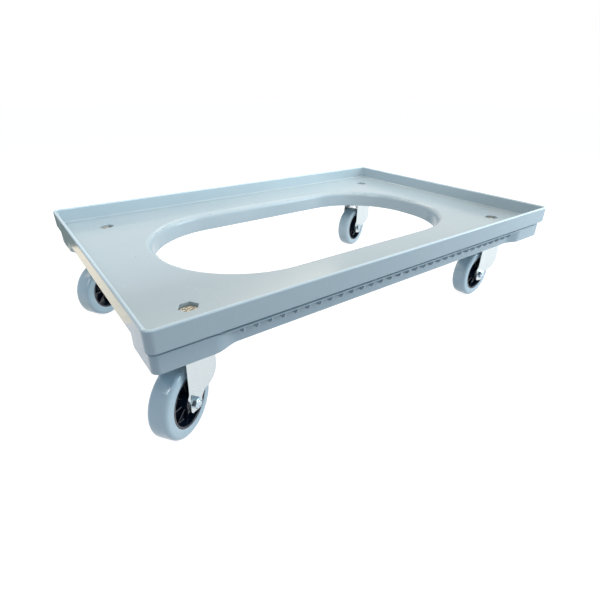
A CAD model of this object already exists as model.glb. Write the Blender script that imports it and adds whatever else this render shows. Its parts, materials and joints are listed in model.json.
"""Crate dolly: a moulded ABS deck on four swivel castors, dressed for a studio picture.

Lengths in the classes are millimetres on the floor's own axes: X along the deck's long
side, Y to the rear, Z up. Meshes are turned to metres when they are placed.
"""
import json
import logging
import math
from collections.abc import Callable, Iterable, Sequence
from dataclasses import dataclass, field
from enum import Enum

import bmesh
import bpy
from mathutils import Matrix, Vector
from mathutils.geometry import tessellate_polygon


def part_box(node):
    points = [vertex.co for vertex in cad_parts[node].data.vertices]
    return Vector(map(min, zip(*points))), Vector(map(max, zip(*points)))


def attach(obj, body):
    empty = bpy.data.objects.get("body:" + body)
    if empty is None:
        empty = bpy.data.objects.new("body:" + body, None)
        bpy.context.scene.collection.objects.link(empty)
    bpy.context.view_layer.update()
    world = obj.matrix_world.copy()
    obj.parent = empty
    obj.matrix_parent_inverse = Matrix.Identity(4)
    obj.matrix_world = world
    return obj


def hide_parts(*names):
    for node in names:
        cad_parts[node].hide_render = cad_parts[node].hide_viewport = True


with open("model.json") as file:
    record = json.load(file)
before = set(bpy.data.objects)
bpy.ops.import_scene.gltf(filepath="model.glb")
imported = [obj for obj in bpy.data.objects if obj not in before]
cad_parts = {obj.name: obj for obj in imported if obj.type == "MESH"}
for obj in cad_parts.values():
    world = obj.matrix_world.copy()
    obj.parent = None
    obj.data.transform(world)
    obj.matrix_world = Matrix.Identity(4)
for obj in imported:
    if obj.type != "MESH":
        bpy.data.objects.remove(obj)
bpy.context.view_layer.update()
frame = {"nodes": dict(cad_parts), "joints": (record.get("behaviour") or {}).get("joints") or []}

MM = 0.001
# Points closer than this are one, in millimetres
MERGE = 0.0005
# How far a cutter, or a shape that is joined on, goes past the face that it meets
PAST = 1.0
# A step too small to see, which keeps the corners of two shapes apart
HAIR = 0.01
LOG = logging.getLogger("crate_dolly")

Point = tuple[float, float]
Corner = tuple[float, float, float]
Spot = tuple[float, float, float]
Profile = Sequence[Point]


class Operation(Enum):
    """What a boolean does with its second shape."""

    ADD = "UNION"
    CUT = "DIFFERENCE"
    KEEP = "INTERSECT"


class Place(Enum):
    """The four castors, by where they are under the deck."""

    FRONT_LEFT = "front_left"
    FRONT_RIGHT = "front_right"
    REAR_RIGHT = "rear_right"
    REAR_LEFT = "rear_left"


# Nodes and colours

def linear(colour: str) -> tuple[float, float, float, float]:
    """Turns an sRGB hex colour into linear values.

    Args:
        colour: Six hex digits after a hash sign.

    Returns:
        Red, green, blue and alpha, linear, each from 0 to 1.
    """
    values = [int(colour[i:i + 2], 16) / 255 for i in (1, 3, 5)]
    return (*(v / 12.92 if v <= 0.04045 else ((v + 0.055) / 1.055) ** 2.4 for v in values), 1.0)


def add_node(tree: bpy.types.NodeTree, kind: str, values: dict | None = None,
             links: dict | None = None, **settings: object) -> bpy.types.Node:
    """Adds a node to a tree with its settings, values and links.

    Args:
        tree: The node tree.
        kind: The node's type.
        values: Input name or number to its value.
        links: Input name or number to the output that feeds it.
        **settings: Properties of the node itself.

    Returns:
        The new node.
    """
    node = tree.nodes.new(kind)
    for name, value in settings.items():
        setattr(node, name, value)
    for name, value in (values or {}).items():
        node.inputs[name].default_value = value
    for name, source in (links or {}).items():
        tree.links.new(source, node.inputs[name])
    return node


def empty_tree(owner: bpy.types.Material | bpy.types.World) -> bpy.types.NodeTree:
    """Turns on the nodes of a material or a world, and takes the first ones out.

    Args:
        owner: The material or the world.

    Returns:
        Its tree, without nodes.
    """
    owner.use_nodes = True
    owner.node_tree.nodes.clear()
    return owner.node_tree


# Shapes

def arc(centre: Point, radius: float, start: float, end: float, steps: int = 6) -> list[Point]:
    """Gives points along an arc.

    Args:
        centre: The arc's centre.
        radius: Its radius.
        start: Angle of the first point, in degrees.
        end: Angle of the last point, in degrees.
        steps: Number of chords.

    Returns:
        The points, both ends among them.
    """
    angles = [math.radians(start + (end - start) * i / steps) for i in range(steps + 1)]
    return [(centre[0] + radius * math.cos(a), centre[1] + radius * math.sin(a)) for a in angles]


def rounded(corners: Sequence[Corner], steps: int = 3, closed: bool = True) -> list[Point]:
    """Rounds the corners of an outline.

    Args:
        corners: Each corner as x, y and its radius, 0 for a sharp one.
        steps: Number of chords in each round.
        closed: Whether the last corner joins the first.

    Returns:
        The outline's points.
    """
    points: list[Point] = []
    for i, (x, y, radius) in enumerate(corners):
        here = Vector((x, y))
        at_end = not closed and i in (0, len(corners) - 1)
        if radius <= 0 or at_end:
            points.append((x, y))
            continue
        back = (Vector(corners[i - 1][:2]) - here).normalized()
        ahead = (Vector(corners[(i + 1) % len(corners)][:2]) - here).normalized()
        half = back.angle(ahead) / 2
        middle = here + (back + ahead).normalized() * (radius / math.sin(half))
        first = here + back * (radius / math.tan(half)) - middle
        last = here + ahead * (radius / math.tan(half)) - middle
        start = math.atan2(first.y, first.x)
        sweep = (math.atan2(last.y, last.x) - start + math.pi) % (2 * math.pi) - math.pi
        points += arc(middle[:], radius, math.degrees(start), math.degrees(start + sweep), steps)
    return points


def loft(rings: Sequence[Sequence[Vector]], wrap: bool = False, caps: bool = False) -> bpy.types.Mesh:
    """Skins a row of rings that have as many points each.

    Args:
        rings: The rings, each a closed loop of points.
        wrap: Whether the last ring joins the first.
        caps: Whether the first and last rings are filled.

    Returns:
        A mesh with merged doubles and its faces outward.
    """
    bm = bmesh.new()
    loops = [[bm.verts.new(p) for p in ring] for ring in rings]
    pairs = list(zip(loops, loops[1:])) + ([(loops[-1], loops[0])] if wrap else [])
    count = len(loops[0])
    for low, high in pairs:
        for i in range(count):
            j = (i + 1) % count
            bm.faces.new((low[i], low[j], high[j], high[i]))
    if caps:
        bm.faces.new(loops[0])
        bm.faces.new(loops[-1])
    return cleaned(bm)


def cleaned(bm: bmesh.types.BMesh) -> bpy.types.Mesh:
    """Merges doubles and turns the faces outward.

    Args:
        bm: The shape. It is freed.

    Returns:
        The result as a mesh.
    """
    bmesh.ops.remove_doubles(bm, verts=bm.verts, dist=MERGE)
    bmesh.ops.dissolve_degenerate(bm, edges=bm.edges, dist=MERGE)
    bmesh.ops.recalc_face_normals(bm, faces=bm.faces)
    mesh = bpy.data.meshes.new("part")
    bm.to_mesh(mesh)
    bm.free()
    return mesh


def revolved(profile: Profile, steps: int = 96, closed: bool = True) -> bpy.types.Mesh:
    """Turns a profile of radius and height round Z.

    Args:
        profile: Points of radius and height.
        steps: Number of faces round the axis.
        closed: Whether the profile's ends join. An open one starts and ends on the axis.

    Returns:
        The solid.
    """
    angles = [2 * math.pi * i / steps for i in range(steps)]
    rings = [[Vector((r * math.cos(a), r * math.sin(a), z)) for a in angles] for r, z in profile]
    return loft(rings, wrap=closed)


def prism(outline: Profile, low: float, high: float) -> bpy.types.Mesh:
    """Raises an outline from one height to another."""
    return loft([[Vector((x, y, z)) for x, y in outline] for z in (low, high)], caps=True)


def rod(radius: float, low: float, high: float, steps: int = 48) -> bpy.types.Mesh:
    """Makes a round rod along Z."""
    return revolved([(0, low), (radius, low), (radius, high), (0, high)], steps, closed=False)


def slab(low: Sequence[float], high: Sequence[float]) -> bpy.types.Mesh:
    """Makes a block between two corners."""
    (x0, y0, z0), (x1, y1, z1) = low, high
    return prism([(x0, y0), (x1, y0), (x1, y1), (x0, y1)], z0, z1)


def hexagon(across_flats: float) -> list[Point]:
    """Gives a hexagon's corners, one of them on X."""
    return arc((0, 0), across_flats / math.sqrt(3), 0, 300, 5)


def moved(mesh: bpy.types.Mesh, matrix: Matrix) -> bpy.types.Mesh:
    """Copies a mesh to another place.

    Args:
        mesh: The mesh, which stays as it is.
        matrix: Where the copy goes.

    Returns:
        The copy.
    """
    copy = mesh.copy()
    copy.transform(matrix)
    if matrix.determinant() < 0:
        copy.flip_normals()
    return copy


def joined(meshes: Iterable[bpy.types.Mesh]) -> bpy.types.Mesh:
    """Puts separate shells into one mesh.

    Args:
        meshes: The shells.

    Returns:
        The mesh that holds them all.
    """
    bm = bmesh.new()
    for mesh in meshes:
        bm.from_mesh(mesh)
    result = bpy.data.meshes.new("part")
    bm.to_mesh(result)
    bm.free()
    return result


def copied_to(shape: bpy.types.Mesh, places: Iterable[Vector | Spot]) -> bpy.types.Mesh:
    """Puts a copy of a shape at each of several places, all in one mesh."""
    return joined(moved(shape, Matrix.Translation(place)) for place in places)


def evaluated(mesh: bpy.types.Mesh, add_modifiers: Callable[[bpy.types.Object], None]) -> bpy.types.Mesh:
    """Runs modifiers on a mesh and returns the plain result.

    Args:
        mesh: The mesh that they work on.
        add_modifiers: Adds them to the object that it is given.

    Returns:
        The resulting mesh.
    """
    obj = bpy.data.objects.new("bench", mesh)
    bpy.context.scene.collection.objects.link(obj)
    add_modifiers(obj)
    graph = bpy.context.evaluated_depsgraph_get()
    result = bpy.data.meshes.new_from_object(obj.evaluated_get(graph))
    bpy.data.objects.remove(obj)
    return result


def combined(base: bpy.types.Mesh, other: bpy.types.Mesh, operation: Operation) -> bpy.types.Mesh:
    """Adds one closed shape to another, cuts it out or keeps what they share.

    Args:
        base: The first shape.
        other: The second shape.
        operation: What is done with the second.

    Returns:
        The result as one closed mesh.
    """
    tool = bpy.data.objects.new("tool", other)
    bpy.context.scene.collection.objects.link(tool)

    def add(obj: bpy.types.Object) -> None:
        """Adds the boolean.

        Args:
            obj: The bench object.
        """
        modifier = obj.modifiers.new("combine", "BOOLEAN")
        modifier.operation = operation.value
        modifier.solver = "MANIFOLD"
        modifier.object = tool

    result = evaluated(base, add)
    bpy.data.objects.remove(tool)
    return result


def repeater(name: str, turning: bool) -> bpy.types.NodeTree:
    """Builds the tree that repeats a shape along a row or round Z.

    Args:
        name: The tree's name.
        turning: True to repeat round Z, false to repeat along a row.

    Returns:
        The tree, with the inputs Count, Step and Finish. Step is an angle in radians on
        its Z when the tree turns, and a length otherwise.
    """
    tree = bpy.data.node_groups.new(name, "GeometryNodeTree")
    sockets = tree.interface
    sockets.new_socket("Shape", in_out="INPUT", socket_type="NodeSocketGeometry")
    sockets.new_socket("Count", in_out="INPUT", socket_type="NodeSocketInt")
    sockets.new_socket("Step", in_out="INPUT", socket_type="NodeSocketVector")
    sockets.new_socket("Finish", in_out="INPUT", socket_type="NodeSocketMaterial")
    sockets.new_socket("Result", in_out="OUTPUT", socket_type="NodeSocketGeometry")
    given = add_node(tree, "NodeGroupInput").outputs
    line = add_node(tree, "GeometryNodeMeshLine", mode="OFFSET", links={"Count": given["Count"]})
    copies = add_node(tree, "GeometryNodeInstanceOnPoints",
                      links={"Points": line.outputs[0], "Instance": given["Shape"]})
    if turning:
        index = add_node(tree, "GeometryNodeInputIndex")
        turn = add_node(tree, "ShaderNodeVectorMath", operation="SCALE",
                        links={"Vector": given["Step"], "Scale": index.outputs[0]})
        tree.links.new(turn.outputs[0], copies.inputs["Rotation"])
        line.inputs["Offset"].default_value = (0, 0, 0)
    else:
        tree.links.new(given["Step"], line.inputs["Offset"])
    real = add_node(tree, "GeometryNodeRealizeInstances", links={0: copies.outputs[0]})
    coat = add_node(tree, "GeometryNodeSetMaterial",
                    links={"Geometry": real.outputs[0], "Material": given["Finish"]})
    add_node(tree, "NodeGroupOutput", links={0: coat.outputs[0]})
    return tree


ROW = repeater("repeat_in_a_row", turning=False)
ROUND = repeater("repeat_round_an_axis", turning=True)


def repeated(shape: bpy.types.Mesh, tree: bpy.types.NodeTree, count: int, step: Sequence[float],
             finish: bpy.types.Material) -> bpy.types.Mesh:
    """Repeats a shape with one of the two trees.

    Args:
        shape: The shape, where its first copy stays.
        tree: ROW or ROUND.
        count: Number of copies.
        step: The tree's Step.
        finish: The material of the copies.

    Returns:
        The copies as one plain mesh.
    """
    inputs = {item.name: item.identifier for item in tree.interface.items_tree
              if item.in_out == "INPUT"}

    def add(obj: bpy.types.Object) -> None:
        """Adds the tree with its inputs set.

        Args:
            obj: The bench object.
        """
        modifier = obj.modifiers.new("repeat", "NODES")
        modifier.node_group = tree
        modifier[inputs["Count"]] = count
        modifier[inputs["Step"]] = tuple(step)
        modifier[inputs["Finish"]] = finish

    return evaluated(shape, add)


def ring_of(shape: bpy.types.Mesh, count: int, finish: bpy.types.Material) -> bpy.types.Mesh:
    """Repeats a shape evenly round Z."""
    return repeated(shape, ROUND, count, (0, 0, 2 * math.pi / count), finish)


def turned_hexagon(across_flats: float, low: float, high: float, chamfer: float,
                   both: bool = False, face_in: float = 0.3) -> bpy.types.Mesh:
    """Makes a hexagon whose corners are turned off at its top, or at both ends.

    Args:
        across_flats: Width across its flats.
        low: Height of its lower face.
        high: Height of its upper face.
        chamfer: Height that the turning takes off each corner.
        both: Whether the lower face is turned too.
        face_in: How much smaller the turned face is than the hexagon's inner circle.

    Returns:
        The solid.
    """
    reach = across_flats / math.sqrt(3)
    flat = across_flats / 2 - face_in
    foot = [(flat, low), (reach, low + chamfer)] if both else [(reach + PAST, low)]
    cone = [(0, low)] + foot + [(reach + HAIR, high - chamfer), (flat, high), (0, high)]
    blank = prism(hexagon(across_flats), low - PAST, high + PAST)
    return combined(blank, revolved(cone, closed=False), Operation.KEEP)


def sheet_metal(surface: bpy.types.Mesh, thickness: float, edge: float) -> bpy.types.Mesh:
    """Thickens a surface inward and rounds the cut edges of the sheet.

    Args:
        surface: The sheet's outer surface.
        thickness: Thickness of the sheet.
        edge: Radius of its cut edges.

    Returns:
        The closed sheet.
    """
    def add(obj: bpy.types.Object) -> None:
        """Adds the thickness and the round edges.

        Args:
            obj: The bench object.
        """
        thick = obj.modifiers.new("thickness", "SOLIDIFY")
        thick.thickness = thickness
        thick.offset = -1
        thick.use_even_offset = True
        soften(obj, edge)

    return evaluated(surface, add)


def soften(obj: bpy.types.Object, width: float) -> None:
    """Adds a small bevel to an object's sharp edges.

    Args:
        obj: The object.
        width: Width of the bevel.
    """
    bevel = obj.modifiers.new("soft_edges", "BEVEL")
    bevel.width = width
    bevel.segments = 2
    bevel.limit_method = "ANGLE"
    bevel.angle_limit = math.radians(50)


# Finishes

@dataclass(frozen=True)
class Finish:
    """A surface: its name, its slot in the record and the values of its shader."""

    name: str
    slot: str
    colour: str
    second_colour: str
    roughness: float
    spread: float
    metallic: float = 0.0
    ior: float = 1.5
    blotch_mm: float = 60.0
    grain_mm: float = 0.5
    grain_depth_mm: float = 0.01
    scuffs: float = 0.0
    scuff_colour: str = "#FFFFFF"
    rubbed_mm: float = 0.0
    rubbed_colour: str = "#FFFFFF"

    def material(self) -> bpy.types.Material:
        """Returns the finish's material, made once."""
        known = bpy.data.materials.get(self.name)
        return known or self.make()

    def make(self) -> bpy.types.Material:
        """Builds the node tree of the finish.

        Returns:
            The new material.
        """
        material = bpy.data.materials.new(self.name)
        tree = empty_tree(material)
        place = add_node(tree, "ShaderNodeTexCoord").outputs["Object"]
        blotch, grain = (add_node(tree, "ShaderNodeTexNoise", links={"Vector": place},
                                  values={"Scale": 1 / (size * MM), "Detail": detail}).outputs[0]
                         for size, detail in ((self.blotch_mm, 3), (self.grain_mm, 2)))
        colour = add_node(tree, "ShaderNodeMix", data_type="RGBA", links={0: blotch},
                          values={6: linear(self.colour), 7: linear(self.second_colour)}).outputs[2]
        rough = add_node(tree, "ShaderNodeMapRange", links={0: blotch},
                         values={3: self.roughness - self.spread,
                                 4: self.roughness + self.spread}).outputs[0]
        if self.scuffs:
            colour, rough = self.scuffed(tree, place, colour, rough)
        if self.rubbed_mm:
            colour = self.rubbed(tree, place, colour)
        bump = add_node(tree, "ShaderNodeBump", links={"Height": grain},
                        values={"Strength": 1.0, "Distance": self.grain_depth_mm * MM})
        shader = add_node(tree, "ShaderNodeBsdfPrincipled",
                          links={"Base Color": colour, "Roughness": rough, "Normal": bump.outputs[0]},
                          values={"Metallic": self.metallic, "IOR": self.ior})
        add_node(tree, "ShaderNodeOutputMaterial", links={"Surface": shader.outputs[0]})
        return material

    def scuffed(self, tree: bpy.types.NodeTree, place: bpy.types.NodeSocket,
                colour: bpy.types.NodeSocket, rough: bpy.types.NodeSocket
                ) -> tuple[bpy.types.NodeSocket, bpy.types.NodeSocket]:
        """Adds faint rubbed streaks to the colour and the roughness.

        Args:
            tree: The material's tree.
            place: The Object coordinates.
            colour: The colour so far.
            rough: The roughness so far.

        Returns:
            The new colour and the new roughness.
        """
        streak_mm = (0.9, 30.0, 12.0)
        streak_turn = (0.2, 0.1, 0.6)
        fewest, most = 0.62, 0.78
        stretch = add_node(tree, "ShaderNodeMapping", links={"Vector": place},
                           values={"Rotation": streak_turn,
                                   "Scale": tuple(1 / (size * MM) for size in streak_mm)})
        streaks = add_node(tree, "ShaderNodeTexNoise", links={"Vector": stretch.outputs[0]},
                           values={"Scale": 1.0, "Detail": 2.0})
        mask = add_node(tree, "ShaderNodeMapRange", links={0: streaks.outputs[0]},
                        values={1: fewest, 2: most, 3: 0.0, 4: self.scuffs}).outputs[0]
        paler = add_node(tree, "ShaderNodeMix", data_type="RGBA", links={0: mask, 6: colour},
                         values={7: linear(self.scuff_colour)}).outputs[2]
        duller = add_node(tree, "ShaderNodeMath", operation="ADD", links={0: rough, 1: mask})
        return paler, duller.outputs[0]

    def rubbed(self, tree: bpy.types.NodeTree, place: bpy.types.NodeSocket,
               colour: bpy.types.NodeSocket) -> bpy.types.NodeSocket:
        """Makes the colour paler above the height at which things rub the surface.

        Args:
            tree: The material's tree.
            place: The Object coordinates.
            colour: The colour so far.

        Returns:
            The new colour.
        """
        fade_mm = 0.4
        height = add_node(tree, "ShaderNodeSeparateXYZ", links={"Vector": place}).outputs["Z"]
        mask = add_node(tree, "ShaderNodeMapRange", links={0: height},
                        values={1: (self.rubbed_mm - fade_mm) * MM,
                                2: self.rubbed_mm * MM}).outputs[0]
        return add_node(tree, "ShaderNodeMix", data_type="RGBA", links={0: mask, 6: colour},
                        values={7: linear(self.rubbed_colour)}).outputs[2]


# ABS, injection moulded in a lightly textured tool: satin, with slow changes of tone along
# the flow of the melt, the odd pale streak where a crate has rubbed it, and a rim whose top
# is rubbed paler.
GREY_ABS = Finish("moulded_grey_abs", "grey_abs", "#A5B7C0", "#ADBCC3", 0.20, 0.03, ior=1.54,
                  blotch_mm=90, grain_mm=0.8, grain_depth_mm=0.008, scuffs=0.10,
                  scuff_colour="#C6D0D5", rubbed_mm=139.2, rubbed_colour="#BED2DC")

# Elastic solid rubber, moulded smooth: soft sheen, faint mottling and dusty streaks.
GREY_RUBBER = Finish("elastic_grey_rubber", "grey_rubber", "#BACED8", "#C6D8DF", 0.16, 0.03,
                     ior=1.52, blotch_mm=22, grain_mm=0.6, grain_depth_mm=0.012, scuffs=0.15,
                     scuff_colour="#D3E0E7")

# Polypropylene, moulded glossy black with a blue cast: sharp small highlights on ribs and ring.
BLACK_PP = Finish("glossy_black_polypropylene", "black_pp", "#0A1727", "#0F1D2C", 0.13, 0.03,
                  ior=1.49, blotch_mm=12, grain_mm=1.2, grain_depth_mm=0.006)

# Pressed sheet steel, bright zinc plated: pale, with a soft blur and a cool cast.
ZINC_SHEET = Finish("bright_zinc_plated_sheet", "zinc_sheet", "#C9D5DB", "#CFD6D6", 0.28, 0.06,
                    metallic=1.0, blotch_mm=9, grain_mm=0.35, grain_depth_mm=0.006, scuffs=0.12,
                    scuff_colour="#F7F8F8")

# Cold-headed bolts and nuts, yellow passivated zinc: a greyish, slightly warm sheen.
YELLOW_ZINC = Finish("yellow_passivated_zinc", "zinc_hardware", "#96938A", "#B0AC9F", 0.36, 0.08,
                     metallic=1.0, blotch_mm=4, grain_mm=0.4, grain_depth_mm=0.008)

# Axle bolts and nuts, blue passivated zinc: cool and bright.
BLUE_ZINC = Finish("blue_passivated_zinc", "zinc_hardware", "#B9CBD8", "#CBD9E1", 0.26, 0.05,
                   metallic=1.0, blotch_mm=4, grain_mm=0.4, grain_depth_mm=0.006)

# Ground and polished bearing steel, for the balls and the axle tube.
BALL_STEEL = Finish("polished_bearing_steel", "bearing_steel", "#C3C6C9", "#CFD2D4", 0.12, 0.02,
                    metallic=1.0, blotch_mm=3, grain_mm=0.3, grain_depth_mm=0.002)


def piece(name: str, mesh: bpy.types.Mesh, finish: Finish, body: str, stands_for: Sequence[str] = (),
          sharp: float = 32, matrix: Matrix | None = None) -> bpy.types.Object:
    """Makes a finished piece of the dolly and seats it on its body.

    Args:
        name: The piece's name.
        mesh: Its shape in millimetres.
        finish: Its finish.
        body: The body that it rides on.
        stands_for: The nodes that it replaces.
        sharp: Edges that turn by more than this angle in degrees stay sharp.
        matrix: Its place in millimetres, where it isn't modelled there.

    Returns:
        The finished object.
    """
    placed = moved(mesh, Matrix.Scale(MM, 4) @ (matrix or Matrix.Identity(4)))
    placed.name = name
    placed.materials.clear()
    placed.materials.append(finish.material())
    placed.polygons.foreach_set("material_index", [0] * len(placed.polygons))
    placed.shade_smooth()
    placed.set_sharp_from_angle(angle=math.radians(sharp))
    obj = bpy.data.objects.new(name, placed)
    bpy.context.scene.collection.objects.link(obj)
    even = obj.modifiers.new("even_shading", "WEIGHTED_NORMAL")
    even.keep_sharp = True
    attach(obj, body)
    if stands_for:
        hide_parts(*stands_for)
    LOG.info("%s: %d faces on %s", name, len(placed.polygons), body)
    return obj


# The deck

@dataclass
class Deck:
    """The one-piece moulding: rim, plate, opening, skirts, lip, gussets, ribs and seats."""

    length: float
    width: float
    foot: float
    top: float
    bolts: list[Vector]
    rim_h: float = 20.0
    rim_t: float = 4.0
    corner_r: float = 8.0
    band_drop: float = 2.2
    fillet: float = 2.0
    plate_t: float = 4.0
    hole_l: float = 450.8
    hole_w: float = 247.0
    hole_end_flat: float = 17.0
    hole_round: float = 8.0
    wall_t: float = 3.5
    skirt_in: float = 5.5
    end_out: float = 2.8
    skirt_r: float = 7.0
    waist_in: float = 12.5
    corner_run: float = 57.0
    blend_run: float = 26.0
    line_in: float = 2.0
    line_h: float = 1.0
    line_slope: float = 0.2
    lip_in: float = 3.5
    lip_h: float = 2.0
    groove_h: float = 3.8
    gusset_pitch: float = 14.6
    gusset_t: float = 1.6
    gusset_r: float = 7.0
    gusset_in: float = 0.5
    gusset_edge: float = 0.3
    rib_t: float = 2.5
    rib_up: float = 5.0
    rib_cells: tuple[int, int] = (5, 3)
    seat_r: float = 28.5
    seat_t: float = 3.0
    tube_r: float = 13.0
    spokes: int = 6
    spoke_in: float = 0.4
    bolt_d: float = 10.5
    pocket_af: float = 17.8
    pocket_depth: float = 9.5
    gate_r: float = 1.7
    gate_ball_r: float = 2.5
    gate_start: float = 52.0
    gate_h: float = 0.5
    gate_places: tuple[Point, ...] = ((-251, 3), (251, 3), (0, -158), (0, 158))
    edge: float = 0.6
    arc_steps: int = 10
    blend_steps: int = 14
    corner_stops: Point = (20.0, 38.0)
    chord: float = 30.0

    def __post_init__(self) -> None:
        """Works out the heights that follow from the others."""
        self.deck_z = self.top - self.rim_h
        self.plate_z = self.deck_z - self.plate_t
        self.band_z = self.deck_z - self.band_drop
        self.lip_top = self.band_z - self.groove_h
        self.lip_z = self.lip_top - self.lip_h
        self.hole_r = (self.hole_w - self.hole_end_flat) / 2

    def build(self) -> bpy.types.Object:
        """Makes the deck and seats it on its body.

        Returns:
            The finished deck.
        """
        mesh = self.shell()
        for part in (self.ribs(), *self.seats(), *self.gussets(), self.gate_marks()):
            mesh = combined(mesh, part, Operation.ADD)
        for cutter in self.bolt_cutters():
            mesh = combined(mesh, cutter, Operation.CUT)
        return piece("deck_moulding", mesh, GREY_ABS, "deck", ["deck_frame"])

    def stations(self, side: float) -> list[float]:
        """Gives the places along one side at which the outline has points.

        Args:
            side: The side's length over the rim.

        Returns:
            Distances from the side's middle, from its positive end to its negative one.
        """
        blend = [self.corner_run + self.blend_run * i / self.blend_steps
                 for i in range(self.blend_steps + 1)]
        half = [side / 2 - d for d in (*self.corner_stops, *blend)]
        inner = half[-1]
        count = max(2, round(2 * inner / self.chord))
        middle = [inner - 2 * inner * i / count for i in range(1, count)]
        return half + middle + [-s for s in reversed(half)]

    def ease(self, side: float, place: float, run: float) -> float:
        """Gives how far the outline has gone over from corner to waist.

        Args:
            side: The side's length over the rim.
            place: Distance from the side's middle.
            run: Length that the change takes.

        Returns:
            0 at the corner to 1 at the waist, as a smooth S.
        """
        share = (side / 2 - abs(place) - self.corner_run) / run
        return (1 - math.cos(math.pi * min(1.0, max(0.0, share)))) / 2

    def loop(self, inset: float, radius: float, height: float, bulge: float = 0.0,
             end_out: float = 0.0) -> list[Vector]:
        """Gives a loop round the deck.

        Args:
            inset: How far it stands in from the rim's outer face at the corners.
            radius: Its corner radius.
            height: Its height.
            bulge: How much further in it stands at the waists, negative for the lip.
            end_out: How much further out the corners stand on the deck's short sides.

        Returns:
            The loop's points, as many for every loop.
        """
        run = self.blend_run if bulge > 0 else self.blend_run / 2
        points: list[Vector] = []
        sides = ((self.length, self.width), (self.width, self.length)) * 2
        for turn, (across, along) in enumerate(sides):
            spin = Matrix.Rotation(turn * math.pi / 2, 3, "Z")
            out_x, out_y = (0.0, end_out) if turn % 2 else (end_out, 0.0)
            centre = (across / 2 - inset - radius + out_x, along / 2 - inset - radius + out_y)
            flat = arc(centre, radius, 0, 90, self.arc_steps)
            for s in self.stations(across):
                share = self.ease(across, s, run)
                flat.append((s, along / 2 - inset + out_y - (bulge + out_y) * share))
            points += [spin @ Vector((x, y, height)) for x, y in flat]
        return points

    def section(self) -> list[list[Vector]]:
        """Gives the loops from the deck's top over the rim and down to the skirt's inside.

        Returns:
            The loops, in order.
        """
        step = self.skirt_in - self.lip_in
        groove = self.skirt_in + self.line_in
        out = step + self.line_in
        waist = self.waist_in - self.skirt_in
        e = self.edge
        rim = [
            *arc((self.rim_t + self.fillet, self.deck_z + self.fillet), self.fillet, -90, -180, 5),
            *arc((self.rim_t / 2, self.top - self.rim_t / 2), self.rim_t / 2, 0, 180, 10),
            *arc((e, self.band_z + e), e, 180, 270, 3),
        ]
        loops = [self.loop(x, max(self.corner_r - x, e), z) for x, z in rim]
        skirt = [
            (groove, 0.0, self.band_z), (groove, 0.0, self.lip_top),
            (groove, e - out, self.lip_top), (groove, -out, self.lip_top - e),
            (groove, -out, self.lip_top - self.line_h),
            (self.skirt_in, -step, self.lip_top - self.line_h - self.line_slope),
            (self.skirt_in, -step, self.lip_z + e), (self.skirt_in, e - step, self.lip_z),
            (self.skirt_in, waist, self.lip_z),
            *((self.skirt_in + x, waist, z)
              for x, z in arc((e, self.foot + e), e, 180, 270, 3)),
            *((self.skirt_in + x, waist, z)
              for x, z in arc((self.wall_t - e, self.foot + e), e, 270, 360, 3)),
            (self.skirt_in + self.wall_t, waist, self.plate_z),
        ]
        loops += [self.loop(x, max(self.skirt_r + self.skirt_in - x, e), z, bulge, self.end_out)
                  for x, bulge, z in skirt]
        return loops

    def hole_loop(self, outset: float, height: float, steps: int = 24) -> list[Vector]:
        """Gives a loop round the opening.

        Args:
            outset: How far it stands outside the opening's wall.
            height: Its height.
            steps: Number of chords in each corner.

        Returns:
            The loop's points.
        """
        reach, half = self.hole_l / 2 - self.hole_r, self.hole_w / 2 - self.hole_r
        centres = [(reach, -half), (reach, half), (-reach, half), (-reach, -half)]
        return [Vector((x, y, height)) for i, centre in enumerate(centres)
                for x, y in arc(centre, self.hole_r + outset, 90 * i - 90, 90 * i, steps)]

    def opening(self) -> list[list[Vector]]:
        """Gives the loops from the deck's top down the opening's wall and up behind it.

        Returns:
            The loops, in order.
        """
        e = self.edge
        profile = [
            *((self.hole_round - x, z) for x, z in
              arc((0, self.deck_z - self.hole_round), self.hole_round, 90, 0, 8)),
            *arc((e, self.foot + e), e, 180, 270, 3),
            *arc((self.wall_t - e, self.foot + e), e, 270, 360, 3),
            (self.wall_t, self.plate_z),
        ]
        return [self.hole_loop(x, z) for x, z in profile]

    def shell(self) -> bpy.types.Mesh:
        """Makes the closed skin of the rim, the plate, the skirts and the opening's wall.

        Returns:
            The skin.
        """
        bm = bmesh.new()
        ends = []
        for loops in (self.section(), self.opening()):
            rows = [[bm.verts.new(p) for p in ring] for ring in loops]
            for low, high in zip(rows, rows[1:]):
                for i, vert in enumerate(low):
                    j = (i + 1) % len(low)
                    bm.faces.new((vert, low[j], high[j], high[i]))
            ends.append((rows[0], rows[-1]))
        for outer, inner in zip(*ends):
            verts = outer + inner
            outlines = [[v.co for v in outer], [v.co for v in inner]]
            for corners in tessellate_polygon(outlines):
                bm.faces.new([verts[i] for i in corners])
        return cleaned(bm)

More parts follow.
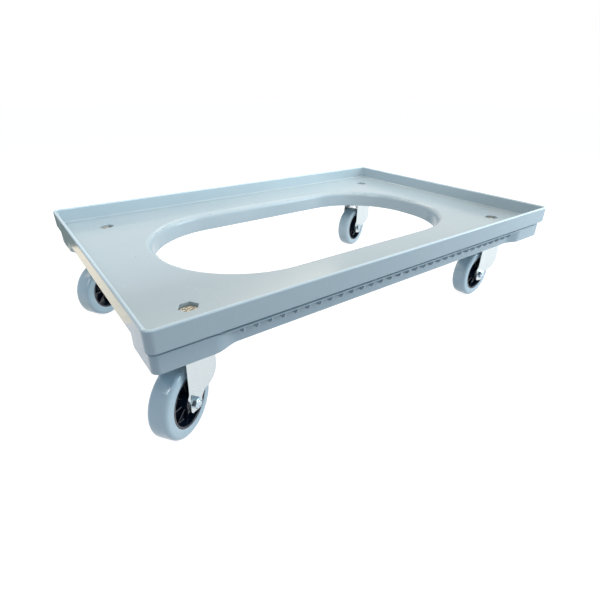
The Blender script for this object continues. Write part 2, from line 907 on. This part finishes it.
    def ribs(self) -> bpy.types.Mesh:
        """Makes the grid of ribs under the plate, up to the skirt and the opening's wall.

        Returns:
            The grid.
        """
        bolt = self.bolts[0]
        low, high = self.foot + self.rib_up, self.plate_z + self.plate_t / 2
        rows = []
        for axis, count in enumerate(self.rib_cells):
            cell = abs(bolt[axis]) / count
            reach = (self.width, self.length)[axis] / 2
            half = [self.rib_t / 2, reach] if axis == 0 else [reach, self.rib_t / 2]
            first = [0.0, 0.0]
            first[axis] = -count * cell
            block = slab((first[0] - half[0], first[1] - half[1], low),
                         (first[0] + half[0], first[1] + half[1], high))
            step = (cell, 0, 0) if axis == 0 else (0, cell, 0)
            rows.append(repeated(block, ROW, 2 * count + 1, step, GREY_ABS.material()))
        grid = combined(rows[0], rows[1], Operation.ADD)
        middle = self.wall_t / 2
        waist = self.waist_in - self.skirt_in
        plan = [self.loop(self.skirt_in + middle, self.skirt_r - middle, z, waist, self.end_out)
                for z in (low - PAST, high + PAST)]
        grid = combined(grid, loft(plan, caps=True), Operation.KEEP)
        hole = [self.hole_loop(middle, z) for z in (low - PAST, high + PAST)]
        return combined(grid, loft(hole, caps=True), Operation.CUT)

    def seats(self) -> list[bpy.types.Mesh]:
        """Makes the castors' seats.

        Returns:
            The tubes, then the rings, then the spokes, each for all four corners.
        """
        high = self.plate_z + self.plate_t / 2
        e = self.edge
        tube = revolved([(0, self.foot), *arc((self.tube_r - e, self.foot + e), e, -90, 0, 3),
                         (self.tube_r, high), (0, high)], 48, closed=False)
        inner = self.seat_r - self.seat_t
        ring = revolved(rounded([(inner, self.foot, e), (self.seat_r, self.foot, e),
                                 (self.seat_r, high, 0), (inner, high, 0)]), 64)
        spoke = slab((self.tube_r - PAST, -self.rib_t / 2, self.foot + self.spoke_in),
                     (inner + PAST, self.rib_t / 2, high - self.spoke_in))
        spokes = ring_of(spoke, self.spokes, GREY_ABS.material())
        return [copied_to(shape, self.bolts) for shape in (tube, ring, spokes)]

    def gussets(self) -> list[bpy.types.Mesh]:
        """Makes the rows of gussets under the lip.

        Returns:
            The rows along the long sides, then those along the short sides.
        """
        front = self.lip_in + self.gusset_in
        back = self.waist_in + self.wall_t / 2
        up = self.lip_z + self.lip_h / 2
        outline = [*arc((front + self.gusset_r, self.lip_z), self.gusset_r, 180, 270, 10),
                   (back, self.lip_z - self.gusset_r), (back, up), (front, up)]
        flat = prism(outline, -self.gusset_t / 2, self.gusset_t / 2)
        blank = evaluated(flat, lambda obj: soften(obj, self.gusset_edge))
        rows = []
        for side, along in ((self.length, self.width), (self.width, self.length)):
            reach = side / 2 - self.corner_run - self.blend_run
            count = int(reach // self.gusset_pitch)
            stand = Matrix(((0, 0, 1, -count * self.gusset_pitch), (1, 0, 0, -along / 2),
                            (0, 1, 0, 0), (0, 0, 0, 1)))
            row = repeated(moved(blank, stand), ROW, 2 * count + 1, (self.gusset_pitch, 0, 0),
                           GREY_ABS.material())
            turn = 0 if side == self.length else math.pi / 2
            rows.append(joined(moved(row, Matrix.Rotation(turn + flip, 4, "Z"))
                               for flip in (0, math.pi)))
        return rows

    def gate_marks(self) -> bpy.types.Mesh:
        """Makes the small raised marks where the melt entered, one in the middle of each side.

        Returns:
            The marks.
        """
        profile = [(0, -PAST), (self.gate_r, -PAST), (self.gate_r, self.gate_h / 10),
                   *arc((0, self.gate_h - self.gate_ball_r), self.gate_ball_r, self.gate_start, 90, 4)]
        dome = revolved(profile, 24, closed=False)
        return copied_to(dome, [(x, y, self.deck_z) for x, y in self.gate_places])

    def bolt_cutters(self) -> list[bpy.types.Mesh]:
        """Makes what cuts the bolts' places out of the deck.

        Returns:
            The holes, then the hexagonal pockets.
        """
        floor = self.deck_z - self.pocket_depth
        hole = rod(self.bolt_d / 2, self.foot - PAST, floor + PAST)
        lead = [(0.0, floor), *((self.edge - x, self.deck_z - self.edge + z) for x, z in
                                arc((0, 0), self.edge, 0, 90, 4)), (self.edge, self.deck_z + PAST)]
        rings = [[Vector((x, y, z)) for x, y in hexagon(self.pocket_af + 2 * out)]
                 for out, z in lead]
        return [copied_to(shape, self.bolts) for shape in (hole, loft(rings, caps=True))]


# Bolts and nuts

@dataclass
class DeckHardware:
    """The bolts that hold the castors, and their nuts."""

    bolts: list[Vector]
    pocket_z: float
    bolt_end: float
    nut_low: float
    nut_high: float
    bolt_d: float = 10.0
    across_flats: float = 17.0
    head_h: float = 6.4
    head_chamfer: float = 1.6
    nut_chamfer: float = 1.5
    point: float = 1.0
    dish: float = 0.7
    dish_r: float = 6.4
    dish_slope: float = 0.6
    dash_w: float = 1.2
    dash_gap: float = 1.2
    dash_drop: float = 0.1
    dashes: int = 6

    def build(self) -> None:
        """Makes the set of bolts and the set of nuts."""
        radius = self.bolt_d / 2
        head_top = self.pocket_z + self.head_h
        floor = head_top - self.dish
        head = turned_hexagon(self.across_flats, self.pocket_z, head_top, self.head_chamfer)
        clear = head_top + PAST / 2
        dish = revolved([(0, floor), (self.dish_r - self.dish_slope, floor),
                         (self.dish_r, clear), (0, clear)], 48, closed=False)
        dash = slab((self.dish_r / 4, -self.dash_w / 2, floor - PAST / 2),
                    (self.dish_r - self.dash_gap, self.dash_w / 2, head_top - self.dash_drop))
        shank = revolved([(0, self.bolt_end), (radius - self.point, self.bolt_end),
                          (radius, self.bolt_end + self.point), (radius, self.pocket_z + PAST),
                          (0, self.pocket_z + PAST)], 48, closed=False)
        head = combined(head, dish, Operation.CUT)
        head = combined(head, ring_of(dash, self.dashes, YELLOW_ZINC.material()), Operation.ADD)
        bolt = combined(head, shank, Operation.ADD)
        blank = turned_hexagon(self.across_flats, self.nut_low, self.nut_high, self.nut_chamfer,
                               both=True)
        bore = rod(radius, self.nut_low - PAST, self.nut_high + PAST)
        nut = combined(blank, bore, Operation.CUT)
        for name, shape, node in (("castor_bolt_set", bolt, "castor_bolts"),
                                  ("castor_nut_set", nut, "castor_nuts")):
            piece(name, copied_to(shape, self.bolts), YELLOW_ZINC, "deck", [node])


# Castors

@dataclass
class Castor:
    """One castor in its own frame: the swivel axis on Z, the wheel trailing along X."""

    axle_z: float
    trail: float
    mount_z: float
    wheel_w: float = 22.0
    hub_r: float = 26.4
    shoulder: float = 4.5
    tread_round: float = 0.35
    side_lean: float = 0.25
    step_in: float = 0.45
    step_out: float = 0.35
    step_run: float = 1.2
    step_end: float = 2.0
    bead_h: float = 2.0
    bead_w: float = 10.0
    ring_t: float = 2.4
    ring_foot: float = 0.8
    ring_slope: float = 0.5
    web_t: float = 4.0
    web_r: float = 1.5
    core_r: float = 9.5
    core_step: float = 1.0
    core_shelf: float = 6.0
    core_foot: float = 0.6
    hub_half: float = 12.7
    bore_r: float = 5.05
    hub_ribs: int = 8
    hub_rib_t: float = 1.5
    rib_half_in: float = 7.5
    rib_half_out: float = 4.5
    rib_sink: float = 0.6
    hub_rib_edge: float = 0.45
    fork_t: float = 2.0
    outer_leg: float = 15.0
    leg_front: float = 6.3
    leg_lean: float = 4.0
    leg_below: float = 13.0
    leg_rear: float = 12.5
    leg_slope: float = 2.5
    leg_r: float = 4.0
    leg_straight: int = 14
    leg_chord: float = 1.6
    bend_gap: float = 1.0
    ear_back: float = 5.5
    ear_up: float = 2.0
    ear_drop: float = 4.5
    ear_r: float = 20.0
    ear_step: float = 0.6
    ear_flare: float = 4.5
    flare_soft: float = 2.0
    roll_w: float = 1.0
    roll_run: float = 2.8
    roll_fade: float = 8.0
    crown_t: float = 2.5
    crown_r: float = 25.0
    bend_r: float = 3.5
    flange_z: float = 81.0
    flange_in: float = 0.4
    flange_run: float = 8.0
    sheet_edge: float = 0.4
    ball_r: float = 2.5
    upper_ring: float = 19.5
    lower_ring: float = 12.5
    upper_balls: int = 18
    lower_balls: int = 11
    ball_play: float = 0.05
    groove: float = 0.45
    head_r: float = 28.0
    head_t: float = 2.9
    head_wall: float = 2.0
    head_gap: float = 0.6
    race_r: float = 15.8
    race_t: float = 2.4
    pin_r: float = 7.5
    pin_wall: float = 2.25
    pin_lip_r: float = 9.5
    pin_lip_t: float = 1.2
    pin_play: float = 1.0
    axle_r: float = 3.0
    axle_play: float = 0.1
    axle_point: float = 0.7
    axle_af: float = 10.0
    axle_head_h: float = 4.0
    axle_head_chamfer: float = 0.8
    nut_h: float = 5.0
    nut_chamfer: float = 0.7
    collar_h: float = 1.2
    collar_in: float = 0.6
    collar_round: float = 1.0
    pieces: list[tuple[str, str, bpy.types.Mesh, Finish, str]] = field(default_factory=list)

    def __post_init__(self) -> None:
        """Works out the castor's heights from its mounting face down."""
        stack = 2 * (self.ball_r - self.groove)
        self.head_z = self.mount_z - self.head_t
        self.crown_top = self.head_z - stack
        self.crown_z = self.crown_top - self.crown_t
        self.race_top = self.crown_z - stack
        self.race_z = self.race_top - self.race_t
        self.leg_x = self.trail + self.leg_front
        self.bend_x = self.trail - self.leg_rear - self.bend_gap
        self.toe_z = self.axle_z - self.leg_below + self.leg_r + self.leg_slope
        self.upper_z = self.crown_top - self.groove + self.ball_r
        self.lower_z = self.crown_z + self.groove - self.ball_r

    def model(self) -> None:
        """Makes each piece once, with the node it stands for, its finish and its body."""
        self.pieces = [
            ("swivel_cap", "swivel_head", self.swivel_cap(), ZINC_SHEET, "deck"),
            ("bearing_race", "lower_race", self.bearing_race(), ZINC_SHEET, "deck"),
            ("rivet", "kingpin", self.rivet(), YELLOW_ZINC, "deck"),
            ("upper_ball_ring", "upper_balls",
             self.ball_ring(self.upper_ring, self.upper_z, self.upper_balls), BALL_STEEL, "castor"),
            ("lower_ball_ring", "lower_balls",
             self.ball_ring(self.lower_ring, self.lower_z, self.lower_balls), BALL_STEEL, "castor"),
            ("yoke", "fork", self.yoke(), ZINC_SHEET, "castor"),
            ("axle_screw", "axle_bolt", self.axle_screw(), BLUE_ZINC, "castor"),
            ("locknut", "axle_nut", self.locknut(), BLUE_ZINC, "castor"),
            ("wheel_centre", "wheel_hub", self.wheel_centre(), BLACK_PP, "wheel"),
            ("tread_ring", "tyre", self.tread_ring(), GREY_RUBBER, "wheel"),
        ]

    def place(self, where: Place, bolt: Vector, heading: float) -> None:
        """Puts one castor's pieces under its bolt.

        Args:
            where: Which castor it is.
            bolt: The place of its bolt.
            heading: The direction in which its wheel trails, in radians.
        """
        turn = Matrix.Translation(bolt) @ Matrix.Rotation(heading, 4, "Z")
        for name, node, mesh, finish, part in self.pieces:
            body = part if part == "deck" else f"{where.value}_{part}"
            piece(f"{where.value}_{name}", mesh, finish, body, [f"{where.value}_{node}"],
                  matrix=turn)
        sleeve = frame["nodes"][f"{where.value}_axle_tube"]
        sleeve.data.materials.clear()
        sleeve.data.materials.append(BALL_STEEL.material())

    def on_axle(self, mesh: bpy.types.Mesh) -> bpy.types.Mesh:
        """Lays a shape on the wheel's axle, its Z along the axle."""
        seat = Matrix.Translation((self.trail, 0, self.axle_z))
        return moved(mesh, seat @ Matrix.Rotation(-math.pi / 2, 4, "X"))

    def swivel_cap(self) -> bpy.types.Mesh:
        """Makes the pressed head with its rolled edge and the balls' groove.

        Returns:
            The head.
        """
        inner = self.head_r - self.head_wall
        low = self.crown_top + self.head_gap
        dip = arc((self.upper_ring, self.upper_z), self.ball_r + self.ball_play, 120, 60, 6)
        profile = [
            *rounded([(self.pin_r, self.mount_z, 0), (self.head_r, self.mount_z, 2.0),
                      (self.head_r, low, 0.6), (inner, low, 0.6), (inner, self.head_z, 1.0)],
                     closed=False),
            *reversed([p for p in dip if p[1] > self.head_z]), (self.pin_r, self.head_z),
        ]
        return revolved(profile)

    def bearing_race(self) -> bpy.types.Mesh:
        """Makes the lower race."""
        return revolved(rounded([(self.pin_r, self.race_z, 0), (self.race_r, self.race_z, 1.0),
                                 (self.race_r, self.race_top, 0.6),
                                 (self.pin_r, self.race_top, 0)]), 64)

    def rivet(self) -> bpy.types.Mesh:
        """Makes the hollow kingpin with its rolled lower end.

        Returns:
            The kingpin.
        """
        bore = self.pin_r - self.pin_wall
        low = self.race_z - self.pin_lip_t
        return revolved(rounded([(bore, low, 0.4), (self.pin_lip_r, low, 0.9),
                                 (self.pin_lip_r, self.race_z, 0.2),
                                 (self.pin_r, self.race_z, 0), (self.pin_r, self.mount_z, 0),
                                 (bore, self.mount_z, 0)]), 64)

    def ball_ring(self, radius: float, height: float, count: int) -> bpy.types.Mesh:
        """Makes a ring of balls.

        Args:
            radius: Radius of the ring, to the balls' middles.
            height: Height of their middles.
            count: Number of balls.

        Returns:
            The ring.
        """
        ball = revolved(arc((0, 0), self.ball_r, -90, 90, 10), 20, closed=False)
        first = moved(ball, Matrix.Translation((radius, 0, height)))
        return ring_of(first, count, BALL_STEEL.material())

    def leg_edge(self) -> list[Point]:
        """Gives a leg's lower edge in side view.

        Returns:
            The edge's points, from the ear's rear to the front edge.
        """
        low = self.axle_z - self.leg_below
        rear = self.trail - self.leg_rear
        turn_r = self.leg_r
        ear = arc((self.ear_r - self.ear_back, self.axle_z + self.ear_up + self.ear_r),
                  self.ear_r, 180, 270, 14)
        slope = math.degrees(math.atan(self.leg_slope / (self.leg_x - rear - 2 * turn_r)))
        heel = arc((rear + turn_r, low + turn_r), turn_r, 180, 270 + slope, 8)
        toe = arc((self.leg_x - turn_r, low + turn_r + self.leg_slope), turn_r,
                  -90 + slope, 0, 8)
        return [*ear, (rear - self.ear_step, self.axle_z - self.ear_drop), *heel, *toe]

    def wall_y(self, x: float, height: float) -> float:
        """Gives how far a leg's outer face is from the middle.

        Args:
            x: Place along the castor, before the front edge is leant back.
            height: Height above the floor.

        Returns:
            The distance, with the ear's flare at the rear and the rolled edge at the front.
        """
        lean = self.ear_flare / (self.bend_x + self.ear_back)
        soft = self.flare_soft
        behind = self.bend_x - x
        if behind <= -soft:
            flare = 0.0
        elif behind < soft:
            flare = lean * (behind + soft) ** 2 / (4 * soft)
        else:
            flare = lean * behind
        rolled = max(0.0, x - self.leg_x + self.roll_run) / self.roll_run
        above_nut = (height - self.axle_z - self.axle_af / math.sqrt(3)) / self.roll_fade
        fade = min(1.0, max(0.0, above_nut))
        return self.outer_leg + flare + self.roll_w * fade * (1 - math.sqrt(max(0.0, 1 - rolled ** 2)))

    def leant(self, x: float, height: float) -> float:
        """Leans a place on a leg back, most of all at its front edge and at the crown.

        Args:
            x: Place along the castor.
            height: Height above the floor.

        Returns:
            The new place along the castor.
        """
        up = max(0.0, height - self.toe_z) / (self.crown_top - self.toe_z)
        ahead = min(1.0, max(0.0, (x - self.bend_x) / (self.leg_x - self.bend_x)))
        return x - self.leg_lean * up * ahead

    def yoke(self) -> bpy.types.Mesh:
        """Makes the pressed fork: two legs, the bridge between them, the flange and the crown.

        Returns:
            The fork.
        """
        edge = self.leg_edge()
        stations: list[Point] = []
        for (x0, z0), (x1, z1) in zip(edge, edge[1:]):
            count = max(1, math.ceil((x1 - x0) / self.leg_chord))
            stations += [(x0 + (x1 - x0) * i / count, z0 + (z1 - z0) * i / count)
                         for i in range(count)]
        stations.append(edge[-1])
        bm = bmesh.new()
        rows = []
        top = self.crown_top
        for x, z in stations:
            heights = [z + (top - self.bend_r - z) * i / self.leg_straight
                       for i in range(self.leg_straight)]
            bend = arc((self.wall_y(x, top) - self.bend_r, top - self.bend_r), self.bend_r, 0, 90, 6)
            side = [(self.wall_y(x, h), h) for h in heights] + bend
            across = [*side, (0.0, top), *[(-y, h) for y, h in reversed(side)]]
            rows.append([bm.verts.new((self.leant(x, h), y, h)) for y, h in across])
        for low, high in zip(rows, rows[1:]):
            for i in range(len(low) - 1):
                bm.faces.new((low[i], low[i + 1], high[i + 1], high[i]))
        bmesh.ops.remove_doubles(bm, verts=bm.verts, dist=MERGE)
        surface = bpy.data.meshes.new("part")
        bm.to_mesh(surface)
        bm.free()
        up = max(surface.polygons, key=lambda face: face.center.z)
        if up.normal.z < 0:
            surface.flip_normals()
        sheet = sheet_metal(surface, self.fork_t, self.sheet_edge)
        for part in (self.flange(), self.crown()):
            sheet = combined(sheet, part, Operation.ADD)
        for cutter in self.yoke_cutters():
            sheet = combined(sheet, cutter, Operation.CUT)
        return sheet

    def flange(self) -> bpy.types.Mesh:
        """Makes the front flange, bent down from the bridge in front of the wheel.

        Returns:
            The flange.
        """
        bend = self.bend_r
        x, top = self.leg_x - self.leg_lean, self.crown_top
        back = x - self.flange_run
        outer = [(back, top), *arc((x - bend, top - bend), bend, 90, 0, 6), (x, self.flange_z)]
        inner = [(x - self.fork_t, self.flange_z),
                 *arc((x - bend, top - bend), bend - self.fork_t, 0, 90, 4),
                 (back, top - self.fork_t)]
        half = self.outer_leg - self.flange_in
        flat = prism([*outer, *inner], -half, half)
        stand = moved(flat, Matrix.Rotation(math.pi / 2, 4, "X"))
        return evaluated(stand, lambda obj: soften(obj, self.sheet_edge))

    def crown(self) -> bpy.types.Mesh:
        """Makes the round crown with the grooves that the balls run in.

        Returns:
            The crown.
        """
        cut = self.ball_r + self.ball_play
        above = [p for p in arc((self.upper_ring, self.upper_z), cut, -60, -120, 6)
                 if p[1] < self.crown_top]
        below = [p for p in arc((self.lower_ring, self.lower_z), cut, 120, 60, 6)
                 if p[1] > self.crown_z]
        hole = self.pin_r + self.pin_play
        profile = [(hole, self.crown_z), *below,
                   *rounded([(0, self.crown_z, 0), (self.crown_r, self.crown_z, 1.0),
                             (self.crown_r, self.crown_top, 1.2), (0, self.crown_top, 0)],
                            closed=False)[1:-1],
                   *above, (hole, self.crown_top)]
        return revolved(profile)

    def yoke_cutters(self) -> list[bpy.types.Mesh]:
        """Makes what cuts the holes for the kingpin and the axle.

        Returns:
            The kingpin's cutter, then the axle's.
        """
        pin = rod(self.pin_r + self.pin_play, self.crown_z - 3 * PAST, self.crown_top + PAST, 64)
        reach = 2 * self.outer_leg
        return [pin, self.on_axle(rod(self.axle_r + self.axle_play, -reach, reach))]

    def axle_screw(self) -> bpy.types.Mesh:
        """Makes the axle bolt, its head on the side away from the nut.

        Returns:
            The bolt, in its place.
        """
        side = self.outer_leg
        end = side + self.nut_h + self.collar_h
        head = turned_hexagon(self.axle_af, side, side + self.axle_head_h, self.axle_head_chamfer)
        head = moved(head, Matrix.Rotation(math.pi, 4, "X"))
        shank = revolved([(0, -side - PAST), (self.axle_r, -side - PAST),
                          (self.axle_r, end - self.axle_point),
                          (self.axle_r - self.axle_point, end), (0, end)], 48, closed=False)
        return self.on_axle(combined(head, shank, Operation.ADD))

    def locknut(self) -> bpy.types.Mesh:
        """Makes the locking nut: a hexagon with a round collar.

        Returns:
            The nut, in its place.
        """
        side = self.outer_leg
        top = side + self.nut_h + self.collar_h
        shape = turned_hexagon(self.axle_af, side, side + self.nut_h, self.nut_chamfer)
        collar_r = self.axle_af / 2 - self.collar_in
        soft = self.collar_round
        collar = revolved([(0, side + 2 * PAST), (collar_r, side + 2 * PAST),
                           *arc((collar_r - soft, top - soft), soft, 0, 90, 4), (0, top)],
                          48, closed=False)
        shape = combined(shape, collar, Operation.ADD)
        bore = rod(self.axle_r, side - PAST, top + PAST)
        return self.on_axle(combined(shape, bore, Operation.CUT))

    def wheel_centre(self) -> bpy.types.Mesh:
        """Makes the hub: ring, web, ribs and centre, with the bead that holds the tyre.

        Returns:
            The hub, in its place.
        """
        half = self.wheel_w / 2
        ring = self.hub_r - self.ring_t
        web, bead = self.web_t / 2, self.bead_w / 2
        outer = [(self.core_r - self.core_step, self.hub_half, 0.6),
                 (self.core_r, self.core_shelf, 0.0),
                 (self.core_r + self.core_foot, web, self.web_r),
                 (ring - self.ring_foot, web, self.web_r),
                 (ring, half - self.ring_slope, 0.7), (self.hub_r, half, 0.5),
                 (self.hub_r, bead, 0), (self.hub_r + self.bead_h, bead, 0.4)]
        mirrored = [(r, -z, e) for r, z, e in reversed(outer)]
        profile = rounded([(self.bore_r, self.hub_half, 0.4), *outer, *mirrored,
                           (self.bore_r, -self.hub_half, 0.4)])
        ribs = ring_of(self.hub_rib(ring), self.hub_ribs, BLACK_PP.material())
        return self.on_axle(combined(revolved(profile), ribs, Operation.ADD))

    def hub_rib(self, ring: float) -> bpy.types.Mesh:
        """Makes one rib of the hub, lower where it meets the ring.

        Args:
            ring: Inner radius of the hub's ring.

        Returns:
            The rib, reaching through the web to both sides.
        """
        near, far = self.core_r - self.core_step, ring + self.rib_sink
        outline = [(near, -self.rib_half_in), (far, -self.rib_half_out),
                   (far, self.rib_half_out), (near, self.rib_half_in)]
        flat = prism(outline, -self.hub_rib_t / 2, self.hub_rib_t / 2)
        upright = moved(flat, Matrix.Rotation(math.pi / 2, 4, "X"))
        return evaluated(upright, lambda obj: soften(obj, self.hub_rib_edge))

    def tread_ring(self) -> bpy.types.Mesh:
        """Makes the rubber tyre with its round shoulders and the step beside the hub.

        Returns:
            The tyre, in its place.
        """
        half, bead = self.wheel_w / 2, self.bead_w / 2
        radius = self.axle_z
        groove = self.hub_r + self.bead_h
        outer = [(self.hub_r, half - self.step_in, 0.0),
                 (self.hub_r + self.step_run, half - self.step_out, 0.3),
                 (self.hub_r + self.step_end, half, 0.4),
                 (radius - self.tread_round, half - self.side_lean, self.shoulder),
                 (radius, 0.0, 0.0)]
        mirrored = [(r, -z, e) for r, z, e in reversed(outer[:-1])]
        inner = [(self.hub_r, -bead, 0), (groove, -bead, 0), (groove, bead, 0),
                 (self.hub_r, bead, 0)]
        return self.on_axle(revolved(rounded([*outer, *mirrored, *inner], steps=8), 128))


# Studio

@dataclass(frozen=True)
class Softbox:
    """A lamp with a face: its place, what it faces, its size in metres, power and colour."""

    name: str
    place: Spot
    target: Spot
    size: Point
    watts: float
    colour: str
    hidden: bool = False

    def build(self) -> None:
        """Adds the lamp. A hidden one is missed by the camera and the reflections."""
        data = bpy.data.lights.new(self.name, "AREA")
        data.shape = "RECTANGLE"
        data.size, data.size_y = self.size
        data.energy = self.watts
        data.color = linear(self.colour)[:3]
        lamp = bpy.data.objects.new(self.name, data)
        lamp.location = self.place
        lamp.visible_camera = lamp.visible_glossy = not self.hidden
        aim = Vector(self.target) - Vector(self.place)
        lamp.rotation_euler = aim.to_track_quat("-Z", "Y").to_euler()
        bpy.context.scene.collection.objects.link(lamp)


@dataclass(frozen=True)
class Card:
    """A card that only reflections show: its corners in metres, its colour and its glow."""

    name: str
    corners: tuple[Spot, Spot, Spot, Spot]
    colour: str
    glow: float

    def build(self) -> None:
        """Adds the card."""
        material = bpy.data.materials.new(self.name)
        tree = empty_tree(material)
        matt = add_node(tree, "ShaderNodeBsdfDiffuse", values={"Color": linear(self.colour)})
        shine = add_node(tree, "ShaderNodeEmission",
                         values={"Color": linear(self.colour), "Strength": self.glow})
        both = add_node(tree, "ShaderNodeAddShader",
                        links={0: matt.outputs[0], 1: shine.outputs[0]})
        add_node(tree, "ShaderNodeOutputMaterial", links={"Surface": both.outputs[0]})
        card = staged(self.name, self.corners, material)
        card.visible_camera = card.visible_diffuse = card.visible_shadow = False


def staged(name: str, corners: Sequence[Spot], material: bpy.types.Material) -> bpy.types.Object:
    """Makes one flat face of the studio.

    Args:
        name: Its name.
        corners: Its four corners, in metres.
        material: Its material.

    Returns:
        The face's object.
    """
    mesh = bpy.data.meshes.new(name)
    mesh.from_pydata(corners, [], [(0, 1, 2, 3)])
    mesh.materials.append(material)
    face = bpy.data.objects.new(name, mesh)
    bpy.context.scene.collection.objects.link(face)
    return face


SOFTBOXES = (
    Softbox("key_softbox", (0.2, -0.2, 0.8), (0.15, -0.1, 0.0), (1.5, 0.35), 4.9, "#FFE5C4"),
    Softbox("cool_fill", (1.0, -0.7, 0.5), (0.1, 0.0, 0.1), (0.8, 0.8), 11.0, "#DDEDF4"),
    Softbox("wall_strip", (-0.05, -0.19, 0.4), (-0.05, 0.81, 0.7), (1.0, 0.06), 2.5, "#E6EEF2",
            hidden=True),
    Softbox("rear_softbox", (-0.1, 0.5, 0.65), (-0.05, 0.15, 0.1), (1.4, 0.1), 2.5, "#FFF1DC"),
)
CARDS = (
    Card("dark_card", ((-0.6, 0.45, 0.001), (-0.3, 0.45, 0.001), (-0.3, 0.45, 0.1),
                       (-0.6, 0.45, 0.1)), "#676D5C", 0.5),
    Card("warm_card", ((-0.6, 0.07, 0.001), (-0.31, 0.07, 0.001), (-0.31, 0.45, 0.001),
                       (-0.6, 0.45, 0.001)), "#FFEFD4", 0.75),
    Card("glint_card", ((-0.76, -0.36, 0.53), (-0.56, -0.36, 0.67), (-0.56, -0.16, 0.67),
                        (-0.76, -0.16, 0.53)), "#F4FAFF", 12.0),
)


@dataclass
class Studio:
    """The floor, the light and the camera."""

    eye: Spot = (-0.3651, -0.4881, 0.3073)
    turn: Spot = (62.875, -0.458, -36.982)
    lens_mm: float = 25.07
    sensor_mm: float = 36.0
    shift: Point = (-0.01644, -0.00138)
    floor_size: float = 12.0
    floor_colour: str = "#CDCFD1"
    seen_floor: str = "#A0A0A0"
    floor_glow_colour: str = "#FFFDFD"
    floor_glow: float = 0.9
    sky_colour: str = "#BADBF8"
    sky_glow: float = 0.52

    def build(self) -> None:
        """Makes the whole studio."""
        bpy.context.scene.view_settings.view_transform = "Standard"
        self.camera()
        self.floor()
        self.world()
        for item in (*SOFTBOXES, *CARDS):
            item.build()

    def camera(self) -> None:
        """Puts the camera where the photograph was taken."""
        data = bpy.data.cameras.new("camera")
        data.lens = self.lens_mm
        data.sensor_width = self.sensor_mm
        data.shift_x, data.shift_y = self.shift
        data.clip_start = 0.01
        camera = bpy.data.objects.new("camera", data)
        camera.location = self.eye
        camera.rotation_euler = [math.radians(a) for a in self.turn]
        bpy.context.scene.collection.objects.link(camera)
        bpy.context.scene.camera = camera

    def floor(self) -> None:
        """Makes the pale floor, white to the camera and the reflections."""
        material = bpy.data.materials.new("pale_studio_floor")
        tree = empty_tree(material)
        matt = add_node(tree, "ShaderNodeBsdfDiffuse",
                        values={"Color": linear(self.floor_colour)})
        pale = add_node(tree, "ShaderNodeBsdfDiffuse", values={"Color": linear(self.seen_floor)})
        white = add_node(tree, "ShaderNodeEmission",
                         values={"Color": linear(self.floor_glow_colour),
                                 "Strength": self.floor_glow})
        bright = add_node(tree, "ShaderNodeAddShader", links={0: pale.outputs[0], 1: white.outputs[0]})
        both = add_node(tree, "ShaderNodeMixShader",
                        links={0: self.seen(tree), 1: matt.outputs[0], 2: bright.outputs[0]})
        add_node(tree, "ShaderNodeOutputMaterial", links={"Surface": both.outputs[0]})
        half = self.floor_size / 2
        staged("floor", ((-half, -half, 0), (half, -half, 0), (half, half, 0), (-half, half, 0)),
               material)

    def world(self) -> None:
        """Lights the scene evenly, with a white background."""
        world = bpy.data.worlds.new("studio")
        bpy.context.scene.world = world
        tree = empty_tree(world)
        glow = add_node(tree, "ShaderNodeBackground",
                        values={"Color": linear(self.sky_colour), "Strength": self.sky_glow})
        plain = add_node(tree, "ShaderNodeBackground",
                         values={"Color": linear("#FFFFFF"), "Strength": 1.0})
        both = add_node(tree, "ShaderNodeMixShader",
                        links={0: self.seen(tree), 1: glow.outputs[0], 2: plain.outputs[0]})
        add_node(tree, "ShaderNodeOutputWorld", links={"Surface": both.outputs[0]})

    def seen(self, tree: bpy.types.NodeTree) -> bpy.types.NodeSocket:
        """Tells what is seen from what only lights.

        Args:
            tree: The tree that asks.

        Returns:
            1 for the rays of the camera, of reflections and through glass, 0 for the others.
        """
        rays = add_node(tree, "ShaderNodeLightPath").outputs
        mirrored = add_node(tree, "ShaderNodeMath", operation="MAXIMUM",
                            links={0: rays["Is Glossy Ray"], 1: rays["Is Transmission Ray"]})
        return add_node(tree, "ShaderNodeMath", operation="MAXIMUM",
                        links={0: rays["Is Camera Ray"], 1: mirrored.outputs[0]}).outputs[0]


# The build

def joint(name: str) -> dict:
    """Finds a joint of the frame by its name."""
    return next(j for j in frame["joints"] if j["name"] == name)


def main() -> None:
    """Builds the dolly and its studio."""
    logging.basicConfig(level=logging.INFO, format="%(message)s")
    low, high = (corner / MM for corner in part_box("deck_frame"))
    bolt_low, _ = (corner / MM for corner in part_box("castor_bolts"))
    nut_low, nut_high = (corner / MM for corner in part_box("castor_nuts"))
    bolts, headings = {}, {}
    trail, axle_z = 0.0, 0.0
    for where in Place:
        bolt = Vector(joint(f"{where.value}_swivel")["pos_m"]) / MM
        axle = Vector(joint(f"{where.value}_roll")["pos_m"]) / MM
        reach = (axle - bolt).xy
        bolts[where] = bolt.xy.to_3d()
        headings[where] = math.atan2(reach.y, reach.x)
        trail, axle_z = reach.length, axle.z
    places = list(bolts.values())
    deck = Deck(high.x - low.x, high.y - low.y, low.z, high.z, places)
    deck.build()
    pocket_z = deck.deck_z - deck.pocket_depth
    DeckHardware(places, pocket_z, bolt_low.z, nut_low.z, nut_high.z).build()
    castor = Castor(axle_z, trail, low.z)
    castor.model()
    for where in Place:
        castor.place(where, bolts[where], headings[where])
    Studio().build()


if __name__ == "__main__":
    main()
